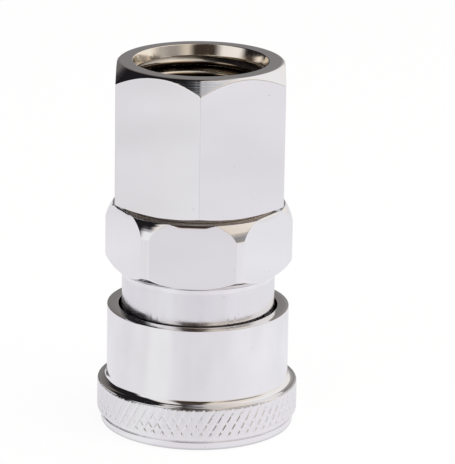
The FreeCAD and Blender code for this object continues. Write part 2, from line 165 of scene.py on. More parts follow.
def polished_metal(name, colour, roughness, spread, wave_mm, wave_depth, grain_mm, grain_depth):
    """Metal whose roughness varies by a noise drawn out along the axis, as the wheel polished
    it, with soft waves, a fine grain, and a few specks where dust sat under the plating."""
    finish, tree, shader, place = new_finish(name, metallic=1.0)
    dust = add(tree, "ShaderNodeTexNoise", {"Scale": 1 / (DUST_MM * MM), "Detail": 0.0}, Vector=place)
    specks = add(tree, "ShaderNodeMapRange", {"From Min": 0.84, "From Max": 0.90, "To Max": 0.25},
                 Value=dust.outputs[0])
    vary_colour(tree, shader, specks.outputs[0], colour, DUST_CODE)
    drawn = add(tree, "ShaderNodeVectorMath", {"operation": "MULTIPLY", 1: (1.0, 1.0, DRAWN_OUT)},
                _0=place)
    patch = add(tree, "ShaderNodeTexNoise", {"Scale": 1 / (wave_mm * MM), "Detail": 3.0},
                Vector=drawn.outputs[0])
    vary_roughness(tree, shader, patch.outputs[0], roughness, roughness + spread, 0.3, 0.7)
    grain = add(tree, "ShaderNodeTexNoise", {"Scale": 1 / (grain_mm * MM), "Detail": 2.0}, Vector=place)
    waves = add(tree, "ShaderNodeBump", {"Strength": 1.0, "Distance": wave_depth * MM},
                Height=patch.outputs[0])
    bump = add(tree, "ShaderNodeBump", {"Strength": 1.0, "Distance": grain_depth * MM},
               Height=grain.outputs[0], Normal=waves.outputs[0])
    tree.links.new(bump.outputs[0], shader.inputs["Normal"])
    return finish


def around_axis(tree, place):
    """Splits a point into x, y and z, and adds its distance to the axis, the root of x2 + y2."""
    part = add(tree, "ShaderNodeSeparateXYZ", Vector=place)
    x, y, z = part.outputs[0], part.outputs[1], part.outputs[2]
    flat = add(tree, "ShaderNodeCombineXYZ", X=x, Y=y)
    radius = add(tree, "ShaderNodeVectorMath", {"operation": "LENGTH"}, _0=flat.outputs[0])
    return x, y, z, radius.outputs["Value"]


def turned_marks(finish, across_mm, along_mm, depth):
    """Adds lathe marks where the surface leans: a noise stretched round the axis, close-set
    along radius minus height, so that it follows chamfers, crowns and end faces."""
    tree = finish.node_tree
    shader = tree.nodes["Principled BSDF"]
    smooth = shader.inputs["Normal"].links[0].from_socket
    source = add(tree, "ShaderNodeTexCoord")
    x, y, z, radius = around_axis(tree, source.outputs["Object"])
    slope = add(tree, "ShaderNodeMath", {"operation": "SUBTRACT"}, _0=radius, _1=z)
    close = add(tree, "ShaderNodeMath", {"operation": "MULTIPLY", 1: along_mm / across_mm},
                _0=slope.outputs[0])
    spread = add(tree, "ShaderNodeCombineXYZ", X=x, Y=y, Z=close.outputs[0])
    marks = add(tree, "ShaderNodeTexNoise", {"Scale": 1 / (along_mm * MM), "Detail": 0.6},
                Vector=spread.outputs[0])
    facing = add(tree, "ShaderNodeSeparateXYZ", Vector=source.outputs["Normal"])
    tilt = add(tree, "ShaderNodeMath", {"operation": "ABSOLUTE"}, _0=facing.outputs[2])
    where = add(tree, "ShaderNodeMapRange", {"From Min": 0.25, "From Max": 0.5}, Value=tilt.outputs[0])
    bump = add(tree, "ShaderNodeBump", {"Distance": depth * MM}, Height=marks.outputs[0],
               Strength=where.outputs[0], Normal=smooth)
    tree.links.new(bump.outputs[0], shader.inputs["Normal"])


chrome = polished_metal("polished_chrome", "F3F2F4", 0.03, 0.06, 2.4, 0.002, 0.2, 0.0004)
turned_marks(chrome, 0.5, 12.0, 0.03)
print("finish:", chrome.name)

# %% [markdown]
# Where the knurling wheel has pressed the metal, where the mouth is bored and on the neck that
# the polishing wheel hardly reaches, the same plating lies on a rougher ground. It blurs what
# it mirrors, so it looks softer.

# %% Knurled, bored and brushed plating
knurled_chrome = polished_metal("knurled_chrome", "F2F1F3", 0.18, 0.10, 1.0, 0.002, 0.2, 0.0008)
bored_chrome = polished_metal("bored_chrome", "F9F1E6", 0.08, 0.10, 1.5, 0.003, 0.2, 0.0006)
brushed_chrome = polished_metal("brushed_chrome", "EFEEF1", 0.12, 0.16, 2.4, 0.003, 0.25, 0.0005)


def second_finish(made, finish, chosen):
    """Gives a finish to the faces whose middle, as radius and height in mm, is chosen."""
    made.data.materials.append(finish)
    middles = np.empty(len(made.data.polygons) * 3)
    made.data.polygons.foreach_get("center", middles)
    x, y, z = middles.reshape(-1, 3).T / MM
    picked = chosen(np.hypot(x, y), z)
    made.data.polygons.foreach_set("material_index", picked.astype(int))
    print("%s on %d faces of %s" % (finish.name, picked.sum(), made.name))


print("finishes:", knurled_chrome.name, bored_chrome.name, brushed_chrome.name)

# %% [markdown]
# The inside of the port is cut by a tap and only flashed with plating, so it is browner and
# rougher than the outside. Its colour follows the distance to the axis: painted shade darkens
# the roots and a painted highlight brightens the crests.

# %% Plated thread
THREAD_R, CREST_R = 10.48, 9.32


def painted_crest_and_root_light(finish, crest_mm, root_mm, highlight_code, root_shade_code):
    """Colours the metal by its radius, from a painted highlight on the crest to painted shade in the root.
    """
    tree = finish.node_tree
    shader = tree.nodes["Principled BSDF"]
    radius = around_axis(tree, add(tree, "ShaderNodeTexCoord").outputs["Object"])[3]
    share = add(tree, "ShaderNodeMapRange", {"From Min": crest_mm * MM, "From Max": root_mm * MM},
                Value=radius)
    vary_colour(tree, shader, share.outputs[0], highlight_code, root_shade_code)


plated_thread = polished_metal("tapped_plated_brass", "CFC2B2", 0.12, 0.08, 1.2, 0.0015, 0.15, 0.0006)
# The crest colour is a painted highlight and the root colour is painted shade.
painted_crest_and_root_light(plated_thread, CREST_R + 0.1, THREAD_R - 0.25, "F4EADC", "3C3029")
print("finish:", plated_thread.name)

# %% [markdown]
# The valve is turned from brass bar. Turning leaves rings round the axis about 0.15 mm apart,
# so the bump comes from the distance to the axis plus the height. A stain in patches 1.5 mm
# wide lets the colour and the gloss wander. Spring steel is rolled, with the same fine lines.

# %% Turned brass
def turned_metal(name, colour, dark, roughness, ring_mm, ring_depth):
    """Metal with fine rings round the axis: a sine of radius plus height, one ring per ring_mm."""
    finish, tree, shader, place = new_finish(name, metallic=1.0)
    z, radius = around_axis(tree, place)[2:]
    along = add(tree, "ShaderNodeMath", {"operation": "ADD"}, _0=radius, _1=z)
    phase = add(tree, "ShaderNodeMath", {"operation": "MULTIPLY", 1: 2 * math.pi / (ring_mm * MM)},
                _0=along.outputs[0])
    rings = add(tree, "ShaderNodeMath", {"operation": "SINE"}, _0=phase.outputs[0])
    bump = add(tree, "ShaderNodeBump", {"Strength": 0.6, "Distance": ring_depth * MM},
               Height=rings.outputs[0])
    tree.links.new(bump.outputs[0], shader.inputs["Normal"])
    stain = add(tree, "ShaderNodeTexNoise", {"Scale": 1 / (1.5 * MM), "Detail": 5.0}, Vector=place)
    vary_colour(tree, shader, stain.outputs[0], colour, dark)
    vary_roughness(tree, shader, stain.outputs[0], roughness * 0.7, roughness * 1.4)
    return finish


brass = turned_metal("lathe_turned_brass", "D9B76E", "B08A45", 0.24, 0.15, 0.003)
ring_steel = turned_metal("rolled_spring_steel", "B9BABD", "8E9094", 0.32, 0.12, 0.002)
print("finishes:", brass.name, ring_steel.name)

# %% [markdown]
# Ball bearings are ground and lapped, so they are the smoothest steel here. Spring wire is
# drawn through a die, which leaves a soft, slightly dark sheen.

# %% Bearing steel and spring wire
ball_steel = polished_metal("lapped_bearing_steel", "D2D3D6", 0.06, 0.05, 1.0, 0.0005, 0.1, 0.0002)
spring_wire = polished_metal("drawn_spring_wire", "A7A9AD", 0.24, 0.12, 0.8, 0.002, 0.08, 0.001)
print("finishes:", ball_steel.name, spring_wire.name)

# %% [markdown]
# Nitrile rubber is nearly black and scatters light. Moulding leaves it matt with small worn
# patches, and a thin film of assembly grease lifts its sheen a little. A sheet of rubber-bound
# fibre, stamped for the washer, is brown, matt and speckled by fibres that lie flat in it.

# %% Moulded rubber and fibre sheet
def matt_finish(name, colour, worn, patch_mm, flatten, smooth, rough, ior, grain_mm, grain_bump):
    """Dielectric whose colour and roughness vary by a noise, with a fine grain. The noise is
    pressed flat along the axis by the given factor, as fibres lie in a sheet."""
    finish, tree, shader, place = new_finish(name)
    shader.inputs["IOR"].default_value = ior
    lain = add(tree, "ShaderNodeVectorMath", {"operation": "MULTIPLY", 1: (1.0, 1.0, flatten)}, _0=place)
    patch = add(tree, "ShaderNodeTexNoise", {"Scale": 1 / (patch_mm * MM), "Detail": 5.0},
                Vector=lain.outputs[0])
    vary_colour(tree, shader, patch.outputs[0], colour, worn)
    vary_roughness(tree, shader, patch.outputs[0], smooth, rough)
    grain = add(tree, "ShaderNodeTexNoise", {"Scale": 1 / (grain_mm * MM), "Detail": 2.0}, Vector=place)
    bump = add(tree, "ShaderNodeBump", {"Strength": grain_bump, "Distance": 0.01 * MM},
               Height=grain.outputs[0])
    tree.links.new(bump.outputs[0], shader.inputs["Normal"])
    return finish


rubber = matt_finish("moulded_nitrile_rubber", "1B1B1D", "303033", 0.8, 1.0, 0.38, 0.62, 1.52, 0.1, 0.5)
fibre = matt_finish("rubber_bound_fibre", "A89D94", "82786F", 0.6, 4.0, 0.45, 0.7, 1.5, 0.15, 0.6)
print("finishes:", rubber.name, fibre.name)

# %% [markdown]
# A new piece is a grid of points worked out at once with numpy. This helper joins the grid
# into quads, turns the faces outward by the sign of the enclosed volume, shades it smoothly
# with sharp edges kept, and hands it to the body that carries it.

# %% From a grid of points to a piece
WELD, SLIVER = 2e-7, 1e-7


def grid_faces(rows, cols, wrap_rows=True, wrap_cols=True):
    """Quads between neighbouring points of a grid, as rows of four vertex numbers."""
    index = np.arange(rows * cols).reshape(rows, cols)
    if wrap_rows:
        index = np.vstack([index, index[:1]])
    if wrap_cols:
        index = np.hstack([index, index[:, :1]])
    a, b, c, d = index[:-1, :-1], index[:-1, 1:], index[1:, 1:], index[1:, :-1]
    return np.stack([a, b, c, d], axis=-1).reshape(-1, 4)


def capped_faces(rows, cols):
    """Quads of a closed section carried along an open path, with a face that shuts each end."""
    first = np.arange(rows) * cols
    ends = [first[::-1].tolist(), (first + cols - 1).tolist()]
    return grid_faces(rows, cols, wrap_cols=False).tolist() + ends


def piece(name, points, faces, finish, body, nodes=(), sharp_deg=40.0):
    """Mesh object from points in mm and faces, with doubles merged and faces outward."""
    mesh = bpy.data.meshes.new(name)
    mesh.from_pydata((np.asarray(points).reshape(-1, 3) * MM).tolist(), [], [list(f) for f in faces])
    shape = bmesh.new()
    shape.from_mesh(mesh)
    bmesh.ops.remove_doubles(shape, verts=shape.verts, dist=WELD)
    bmesh.ops.dissolve_degenerate(shape, edges=shape.edges, dist=SLIVER)
    if shape.calc_volume(signed=True) < 0:
        bmesh.ops.reverse_faces(shape, faces=shape.faces)
    bmesh.ops.delete(shape, geom=[e for e in shape.edges if not e.link_faces], context="EDGES")
    open_edges = sum(1 for e in shape.edges if len(e.link_faces) != 2)
    shape.to_mesh(mesh)
    shape.free()
    mesh.shade_smooth()
    mesh.set_sharp_from_angle(angle=math.radians(sharp_deg))
    made = bpy.data.objects.new(name, mesh)
    bpy.context.scene.collection.objects.link(made)
    even = made.modifiers.new("even_normals", "WEIGHTED_NORMAL")
    even.keep_sharp = True
    mesh.materials.append(finish)
    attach(made, body)
    if nodes:
        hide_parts(*nodes)
    print("%s: %d faces, %d open edges" % (name, len(mesh.polygons), open_edges))
    return made


# %% [markdown]
# Machined edges are never razor sharp: the polishing wheel leaves a tiny round that catches
# the light. The first helper takes the corners of a closed path and turns each into a short
# curve. A turned piece is such a path carried round the axis.

# %% Softened paths and turned pieces
SIDE_SHARE = 0.45


def softened(path, steps=3):
    """Rounds a closed path of corners (r, z, setback), each a number or one for every angle.
    A corner c becomes the curve (1-u)^2 A + 2u(1-u) c + u^2 B, where A and B lie on the two
    sides at the setback, or at SIDE_SHARE of the side where that is shorter."""
    values = np.stack(np.broadcast_arrays(*[value for corner in path for value in corner]))
    r, z, setback = np.moveaxis(values.reshape(len(path), 3, -1), 1, 0)
    corners = np.stack([r, z], axis=-1)
    ends = []
    for neighbour in (1, -1):
        side = np.roll(corners, neighbour, axis=0) - corners
        length = np.linalg.norm(side, axis=2)
        share = np.minimum(setback, SIDE_SHARE * length) / np.maximum(length, 1e-9)
        ends.append(corners + side * share[..., None])
    u = np.linspace(0, 1, steps + 1).reshape(1, -1, 1, 1)
    curve = (1 - u) ** 2 * ends[0][:, None] + 2 * u * (1 - u) * corners[:, None] + u ** 2 * ends[1][:, None]
    return curve.reshape(-1, corners.shape[1], 2)


def around(r, a, z):
    """Points (r cos a, r sin a, z) for radii, angles and heights of matching shapes."""
    r, a, z = np.broadcast_arrays(r, a, z)
    return np.stack([r * np.cos(a), r * np.sin(a), z], axis=-1)


def even_turns(count):
    """Angles that divide a full turn evenly."""
    return np.arange(count) * 2 * math.pi / count


def turned_piece(name, shell, turns, finish, body, nodes=(), sharp_deg=40.0):
    """A closed path of (r, z), one for all angles or one for each, carried once round the axis."""
    points = around(shell[..., 0], turns, shell[..., 1])
    return piece(name, points, grid_faces(*points.shape[:2]), finish, body, nodes, sharp_deg)


square = softened([(0, 0, 0.1), (1, 0, 0.1), (1, 1, 0.1), (0, 1, 0.1)])
print("a softened square has", len(square), "points")

# %% [markdown]
# The port is a long hexagonal nut. Seen from above its outline is a hexagon with slightly
# rounded corners; seen from the side it has a chamfer at each end, cut as a cone, so the cone
# meets each flat in an arch. The surface is a grid of height by angle. At every angle the
# outline gives a radius, and the chamfers start where the cones reach that radius.

# %% The threaded port
FLAT_R, EDGE_ROUND = 13.0, 0.06
CLOSE_UP_FLAT, CLOSE_UP_CUT = 1.6, 1.4
PORT_TURN_DEG, PORT_CORNER_R = -60.0, 14.96
TOP_Z, PORT_BASE_Z, SPIGOT_END_Z = 58.5, 36.4, 32.3
TOP_LAND_R, TOP_SLOPE = 12.65, math.tan(math.radians(42.5))
UNDER_LAND_R, UNDER_SLOPE = FLAT_R - 0.02, math.tan(math.radians(23.0))
PASSAGE_R, SPIGOT_R, THREAD_END_Z = 7.5, 9.96, 43.5
MOUTH_R, MOUTH_TOP_R = 10.15, THREAD_R + 0.04
MOUTH_CONE_Z, MOUTH_LOW_Z, MOUTH_HIGH_Z = 56.2, 56.5, 56.75
BORED_R, BORED_FROM_Z = THREAD_R + 0.1, 40.0


def hexagon_outline(turn_deg, corner_r, flat_steps, cut_steps):
    """Angles and radii of a hexagon of FLAT_R cut by a circle of corner_r. The radius is the
    smaller of FLAT_R / cos(angle) and corner_r, with the step between them smoothed. The
    angles close up towards the cut, so that the edge is crisp and the round parts stay true."""
    half = math.acos(FLAT_R / corner_r)
    flat = half * (1 - (1 - np.linspace(0, 1, flat_steps + 1)) ** CLOSE_UP_FLAT)
    cut = half + (math.pi / 6 - half) * np.linspace(0, 1, cut_steps + 1)[1:] ** CLOSE_UP_CUT
    side = np.concatenate([flat, cut])
    side = np.concatenate([-side[:0:-1], side[:-1]])
    flat_r = FLAT_R / np.cos(side)
    blend = np.clip(1 - np.abs(flat_r - corner_r) / EDGE_ROUND, 0, 1)
    radius = np.minimum(flat_r, corner_r) - EDGE_ROUND / 4 * blend ** 2
    turns = np.concatenate([side + math.radians(turn_deg) + k * math.pi / 3 for k in range(6)])
    return turns, np.tile(radius, 6)


angles, outline = hexagon_outline(PORT_TURN_DEG, PORT_CORNER_R, 20, 2)
shell = softened([
    (TOP_LAND_R, TOP_Z, 0.25),
    (outline, TOP_Z - (outline - TOP_LAND_R) * TOP_SLOPE, 0.14),
    (outline, PORT_BASE_Z + (outline - UNDER_LAND_R) * UNDER_SLOPE, 0.10),
    (UNDER_LAND_R, PORT_BASE_Z, 0.05),
    (SPIGOT_R, PORT_BASE_Z, 0.1),
    (SPIGOT_R, SPIGOT_END_Z, 0.4),
    (PASSAGE_R, SPIGOT_END_Z, 0.2),
    (PASSAGE_R, THREAD_END_Z - THREAD_R + PASSAGE_R, 0.3),
    (THREAD_R, THREAD_END_Z, 0.3),
    (THREAD_R, MOUTH_CONE_Z, 0.05),
    (MOUTH_R, MOUTH_LOW_Z, 0.05),
    (MOUTH_R, MOUTH_HIGH_Z, 0.1),
    (MOUTH_TOP_R, TOP_Z, 0.12),
])
port = turned_piece("threaded_port", shell, angles, chrome, "coupler_body",
                    ["thread_adapter"])
second_finish(port, bored_chrome, lambda r, z: (r < BORED_R) & (z > BORED_FROM_Z))

# %% [markdown]
# The pipe thread is one long ridge wound inside the port, 14 turns to the inch. A tap cuts
# its flanks at 55 degrees and rounds its crest and root. The ridge is a closed section
# carried along a right-hand helix; at both ends its height fades into the wall.

# %% The internal thread
PITCH = 1.814
TOP_CREST_Z = 56.0
TURNS, END_TURN = 6.9, 0.27
STEPS_PER_TURN, SECTION_STEPS = 96, 15
FADE_TURNS, TOP_FADE = 0.3, 1.6
ROOT_R, BACK_R = THREAD_R + 0.02, THREAD_R + 0.12


def thread_section(count):
    """Height 0 to 1 across one pitch: straight 55 degree flanks, eased at crest and root."""
    s = np.linspace(-0.5, 0.5, count)
    rise = np.clip((0.5 - np.abs(s)) / 0.5, 0, 1)
    rounded = rise ** 2 * (3 - 2 * rise)
    return s, 0.55 * rise + 0.45 * rounded


across_ridge, height = thread_section(SECTION_STEPS)
turn = np.linspace(END_TURN - TURNS, END_TURN, int(TURNS * STEPS_PER_TURN)) * 2 * math.pi
from_end = np.minimum(turn - turn[0], (turn[-1] - turn) * TOP_FADE)
fade = np.clip(from_end / (2 * math.pi * FADE_TURNS), 0.02, 1)
ridge_r = ROOT_R - (THREAD_R - CREST_R) * height[:, None] * fade[None, :]
ridge_z = TOP_CREST_Z + PITCH * (turn / (2 * math.pi))[None, :] + across_ridge[:, None] * PITCH
r = np.vstack([ridge_r, np.full((2, len(turn)), BACK_R)])
z = np.vstack([ridge_z, ridge_z[-1:], ridge_z[:1]])
points = around(r, math.pi / 2 + turn, z)
piece("port_thread", points, capped_faces(*points.shape[:2]), plated_thread,
      "coupler_body", sharp_deg=70.0)

# %% [markdown]
# A flat washer seals the joint between the port and the body. It is a little smaller than
# either, so it reads as a dark line with a soft edge.

# %% The washer
RING_STEPS = 180
WASHER_IN_R, WASHER_OUT_R, WASHER_LOW_Z, WASHER_TOP_Z = 10.02, 11.8, 35.76, 36.39

turned_piece("joint_washer", softened([
    (WASHER_IN_R, WASHER_LOW_Z, 0.1),
    (WASHER_OUT_R, WASHER_LOW_Z, 0.15),
    (WASHER_OUT_R, WASHER_TOP_Z, 0.15),
    (WASHER_IN_R, WASHER_TOP_Z, 0.1),
]), even_turns(RING_STEPS), fibre, "coupler_body", ["adapter_washer"])

# %% [markdown]
# The body is turned from hexagonal bar. Its corners are cut back by a cylinder, its shoulder
# is crowned by an arc that meets each flat in a V, and below the hexagon a cone and a narrow
# ledge lead into the round neck. Again each angle gives a radius, and the crown and the cone
# end where they reach it. The arc doesn't reach the middle of a flat, so there the top edge
# is eased by a parabola instead. The bores inside take the seals and the valve.

# %% The crown and the cone of the body
BODY_TURN_DEG, CORNER_R = -34.2, 14.65
CROWN_TOP_Z, CROWN_WIDTH, CROWN_HEIGHT, CROWN_BULGE, CROWN_ROWS = 35.75, 1.2, 2.75, 0.18, 9
EDGE_DROP, EDGE_LEAN, EDGE_FADE = 0.8, math.tan(math.radians(24.0)), 0.3
HEX_BASE_Z, UNDER_BULGE, UNDER_ROWS, UNDER_END_R = 26.9, 0.16, 6, FLAT_R - 0.03
LEDGE_SLOPE = math.tan(math.radians(40.5))

angles, outline = hexagon_outline(BODY_TURN_DEG, CORNER_R, 18, 4)
chord = math.hypot(CROWN_WIDTH, CROWN_HEIGHT)
crown_arc_r = (chord ** 2 / 4 + CROWN_BULGE ** 2) / (2 * CROWN_BULGE)
chord_angle = math.atan2(CROWN_HEIGHT, CROWN_WIDTH)
half_arc = math.asin(chord / 2 / crown_arc_r)
arc_centre_r = CORNER_R - crown_arc_r * math.sin(chord_angle + half_arc)
arc_centre_z = CROWN_TOP_Z - CROWN_HEIGHT - crown_arc_r * math.cos(chord_angle + half_arc)
crown_start = math.pi / 2 - (chord_angle - half_arc)
crown_stop = np.arccos(np.clip((outline - arc_centre_r) / crown_arc_r, -1, 1))
crown_edge_r = CORNER_R - CROWN_WIDTH
on_flat = outline < crown_edge_r
edge_drop = EDGE_DROP * np.clip((crown_edge_r - outline) / EDGE_FADE, 0, 1)


def crown_row(share, setback):
    """A row of the crown at a share of the way down: on the flats the outline less
    drop * lean / 2 * (1 - share)^2, elsewhere a point of the arc."""
    lift = crown_start + (crown_stop - crown_start) * share
    r = np.where(on_flat, outline - edge_drop * EDGE_LEAN / 2 * (1 - share) ** 2,
                 arc_centre_r + crown_arc_r * np.cos(lift))
    z = np.where(on_flat, CROWN_TOP_Z - edge_drop * share, arc_centre_z + crown_arc_r * np.sin(lift))
    return r, z, setback


def under_row(share, setback):
    """A row of the cone under the hexagon, bulged by 4 b w (1 - w) with w from flat to corner."""
    r = outline + (UNDER_END_R - outline) * share
    w = np.clip((r - FLAT_R) / (CORNER_R - FLAT_R), 0, 1)
    return r, HEX_BASE_Z - (CORNER_R - r) * LEDGE_SLOPE - 4 * UNDER_BULGE * w * (1 - w), setback


crown_setbacks = [0.1] + [0.0] * (CROWN_ROWS - 2) + [0.05]
under_setbacks = [0.25] + [0.0] * (UNDER_ROWS - 2) + [0.08]
crown = [crown_row(*row) for row in zip(np.linspace(0, 1, CROWN_ROWS), crown_setbacks)]
under = [under_row(*row) for row in zip(np.linspace(0, 1, UNDER_ROWS), under_setbacks)]
print("crown arc %.2f mm, %d angles" % (crown_arc_r, len(angles)))

# %% [markdown]
# Below the ledge the path of the body goes down the neck and the nose, turns in at the bore
# of the plug, and climbs past the room of the packing, the valve's seat and the valve's
# chamber to the socket of the port. All of it is one closed path, so the body is one surface.

# %% The body
LEDGE_Z = HEX_BASE_Z - (CORNER_R - FLAT_R) * LEDGE_SLOPE
RELIEF_R, CONE_R = 12.25, 12.45
RELIEF_Z = LEDGE_Z - 0.25
CONE_TOP_Z = RELIEF_Z - 0.1
CONE_END_Z = CONE_TOP_Z - 1.1
NECK_R, NECK_END_Z, NOSE_R, NOSE_TOP_Z = 12.0, 18.4, 10.6, 10.0
BRUSHED_R, BRUSHED_LOW_Z = NECK_R + 0.2, NECK_END_Z - 0.4
PLUG_BORE_R, PACKING_R, PACKING_LOW_Z, PACKING_TOP_Z = 6.1, 8.6, 14.0, 17.0
SEAT_R, SEAT_LOW_Z, SEAT_TOP_Z = 6.4, 18.0, 20.2
CHAMBER_R, SHOULDER_Z, SOCKET_R = 8.6, 30.5, 10.0
BORE_SETBACK = 0.08

shell = softened(crown + under + [
    (RELIEF_R, LEDGE_Z, 0.03),
    (RELIEF_R, RELIEF_Z, 0.03),
    (CONE_R, CONE_TOP_Z, 0.05),
    (NECK_R, CONE_END_Z, 0.4),
    (NECK_R, NECK_END_Z, 0.1),
    (NOSE_R, NECK_END_Z, 0.1),
    (NOSE_R, NOSE_TOP_Z, 0.05),
    (PLUG_BORE_R, NOSE_TOP_Z, 0.15),
    (PLUG_BORE_R, PACKING_LOW_Z, BORE_SETBACK),
    (PACKING_R, PACKING_LOW_Z, BORE_SETBACK),
    (PACKING_R, PACKING_TOP_Z, BORE_SETBACK),
    (SEAT_R, PACKING_TOP_Z, BORE_SETBACK),
    (SEAT_R, SEAT_LOW_Z, BORE_SETBACK),
    (CHAMBER_R, SEAT_TOP_Z, BORE_SETBACK),
    (CHAMBER_R, SHOULDER_Z, BORE_SETBACK),
    (SOCKET_R, SHOULDER_Z, BORE_SETBACK),
    (SOCKET_R, CROWN_TOP_Z, BORE_SETBACK),
])
body = turned_piece("hexagon_body", shell, angles, chrome, "coupler_body")
second_finish(body, brushed_chrome, lambda r, z: (r < BRUSHED_R) & (z < LEDGE_Z) & (z > BRUSHED_LOW_Z))

# %% [markdown]
# The nose of the body is a thin tube that carries eight balls in drilled holes, narrower at
# the inner end so that no ball can fall in. The tube is turned, then a cutter of eight drills
# is taken out of it with a Boolean modifier, because a hole through two curved walls has no
# simple grid of its own.

# %% The nose and its ball holes
NOSE_STEPS, NOSE_LOW_Z, NOSE_CHAMFER, MEETING_Z = 192, 0.6, 0.15, 9.995
STOP_GROOVE_R, STOP_GROOVE_LOW_Z, STOP_GROOVE_TOP_Z = 10.0, 1.15, 2.4
PLUG_SOCKET_R, LEAD_IN = 8.0, 0.8
BALL_R, BALL_CENTRE_R, BALL_Z, BALLS = 2.0, 9.1, 6.5, 8
HOLE_R, HOLE_TIP_R, HOLE_IN, HOLE_OUT = BALL_R + 0.03, 0.87, -2.0, 3.0
DRILL_STEPS, DRILL_AXIS_R, DRILL_WELD = 48, 0.001, 5e-6

nose = turned_piece("nose_tube", softened([
    (PLUG_SOCKET_R + LEAD_IN, NOSE_LOW_Z, 0.1),
    (NOSE_R - NOSE_CHAMFER, NOSE_LOW_Z, 0.03),
    (NOSE_R, NOSE_LOW_Z + NOSE_CHAMFER, 0.03),
    (NOSE_R, STOP_GROOVE_LOW_Z, 0.04),
    (STOP_GROOVE_R, STOP_GROOVE_LOW_Z, 0.02),
    (STOP_GROOVE_R, STOP_GROOVE_TOP_Z, 0.02),
    (NOSE_R, STOP_GROOVE_TOP_Z, 0.04),
    (NOSE_R, MEETING_Z, 0.02),
    (PLUG_SOCKET_R, MEETING_Z, 0.02),
    (PLUG_SOCKET_R, NOSE_LOW_Z + LEAD_IN, 0.2),
]), even_turns(NOSE_STEPS), chrome, "coupler_body", ["main_body"], sharp_deg=30.0)

drill_path = np.array([(DRILL_AXIS_R, HOLE_IN), (HOLE_TIP_R, HOLE_IN),
                       (HOLE_R, HOLE_IN + HOLE_R - HOLE_TIP_R), (HOLE_R, HOLE_OUT),
                       (DRILL_AXIS_R, HOLE_OUT)])
across_drill, along_drill = drill_path[:, :1], drill_path[:, 1:]
spin = even_turns(DRILL_STEPS)[None, :]
drill = np.stack([BALL_CENTRE_R + along_drill + 0 * spin, across_drill * np.cos(spin),
                  BALL_Z + across_drill * np.sin(spin)], axis=-1).reshape(-1, 3)
drill_faces = grid_faces(len(drill_path), DRILL_STEPS)
cutter_points, cutter_faces = [], []
for k, q in enumerate(even_turns(BALLS)):
    rotation = np.array([[math.cos(q), math.sin(q), 0], [-math.sin(q), math.cos(q), 0], [0, 0, 1]])
    cutter_points.append(drill @ rotation)
    cutter_faces.append(drill_faces + k * len(drill))
cutter_mesh = bpy.data.meshes.new("drills")
cutter_mesh.from_pydata((np.vstack(cutter_points) * MM).tolist(), [], np.vstack(cutter_faces).tolist())
shape = bmesh.new()
shape.from_mesh(cutter_mesh)
bmesh.ops.remove_doubles(shape, verts=shape.verts, dist=DRILL_WELD)
bmesh.ops.recalc_face_normals(shape, faces=shape.faces)
shape.to_mesh(cutter_mesh)
shape.free()
cutter = bpy.data.objects.new("drills", cutter_mesh)
bpy.context.scene.collection.objects.link(cutter)
holes = nose.modifiers.new("ball_holes", "BOOLEAN")
holes.object = cutter
holes.operation = "DIFFERENCE"
holes.solver = "EXACT"
nose.modifiers.move(1, 0)
bpy.context.view_layer.update()
drilled = bpy.data.meshes.new_from_object(nose.evaluated_get(bpy.context.evaluated_depsgraph_get()))
nose.modifiers.clear()
nose.data = drilled
bpy.data.objects.remove(cutter)
print("nose with holes:", len(drilled.polygons), "faces")

# %% [markdown]
# Eight bearing balls lock the plug. Each is a sphere worked out from two angles, set where
# the hole holds it, and rides on its own body, so it moves outward as the sleeve slides.

# %% The locking balls
BALL_ROWS, BALL_COLS = 33, 64


def ball_grid(rows, cols):
    """Unit sphere: (sin p cos q, sin p sin q, cos p), with p from pole to pole and q all round."""
    p = np.linspace(0, math.pi, rows)[:, None]
    return around(np.sin(p), even_turns(cols), np.cos(p))


for k, q in enumerate(even_turns(BALLS)):
    centre = around(BALL_CENTRE_R, q, BALL_Z)
    piece("lock_ball_%d" % (k + 1), ball_grid(BALL_ROWS, BALL_COLS) * BALL_R + centre,
          grid_faces(BALL_ROWS, BALL_COLS, wrap_rows=False), ball_steel,
          "ball_%d" % (k + 1), ["locking_ball_%d" % (k + 1)])

# %% [markdown]
# The sleeve slides up to free the plug. Its flange is knurled so that a gloved hand can grip
# it: a wheel presses two families of slanting grooves into the rim. The knurl is a height
# worked out on a grid whose steps divide the grooves evenly. Each square of the grid is
# split into four triangles round its middle, so every groove runs along edges of the mesh.

# %% The knurl
KNURL_R, KNURL_BASE_Z, KNURL_TOP_Z = 15.8, 2.15, 6.90
GROOVES, STEPS_PER_GROOVE, KNURL_LEAN = 64, 12, math.radians(32.0)
GROOVE_DEPTH, GROOVE_WIDTH = 0.14, 0.46
LEFT_FADE, TOP_FADE_HEIGHT = 3.4, 0.8
knurl_rise = 2 * math.pi * KNURL_R / GROOVES / math.tan(KNURL_LEAN)
row_height = knurl_rise / STEPS_PER_GROOVE
knurl_rows = int(round((KNURL_TOP_Z - KNURL_BASE_Z) / row_height))


def groove(phase):
    """Round-bottomed groove: depth (1 - s^2)^2 with s the distance over half the width."""
    off = np.abs(phase - np.round(phase))
    return GROOVE_DEPTH * np.clip(1 - (off / (GROOVE_WIDTH / 2)) ** 2, 0, 1) ** 2


def knurl_depth(a, z):
    """The deeper of two groove families; both fade towards the top, the left one from lower."""
    u = GROOVES * a / (2 * math.pi)
    v = (z - KNURL_BASE_Z) / knurl_rise
    left_share = np.clip((KNURL_TOP_Z - z) / LEFT_FADE, 0.1, 1)
    right_share = np.clip((KNURL_TOP_Z - z) / TOP_FADE_HEIGHT, 0.2, 1)
    return np.maximum(groove(u - v) * right_share, groove(u + v) * left_share)


print("knurl: %d rows of %.3f mm" % (knurl_rows, row_height))

# %% [markdown]
# The rest of the sleeve is a turned path. Outside it has a cove above the flange, a flat rim
# and, under the knurl, a groove and a rounded lip. Inside, a bore holds the spring, a land
# guides the sleeve on the nose, a cone presses the balls in, and a recess takes the stop ring.

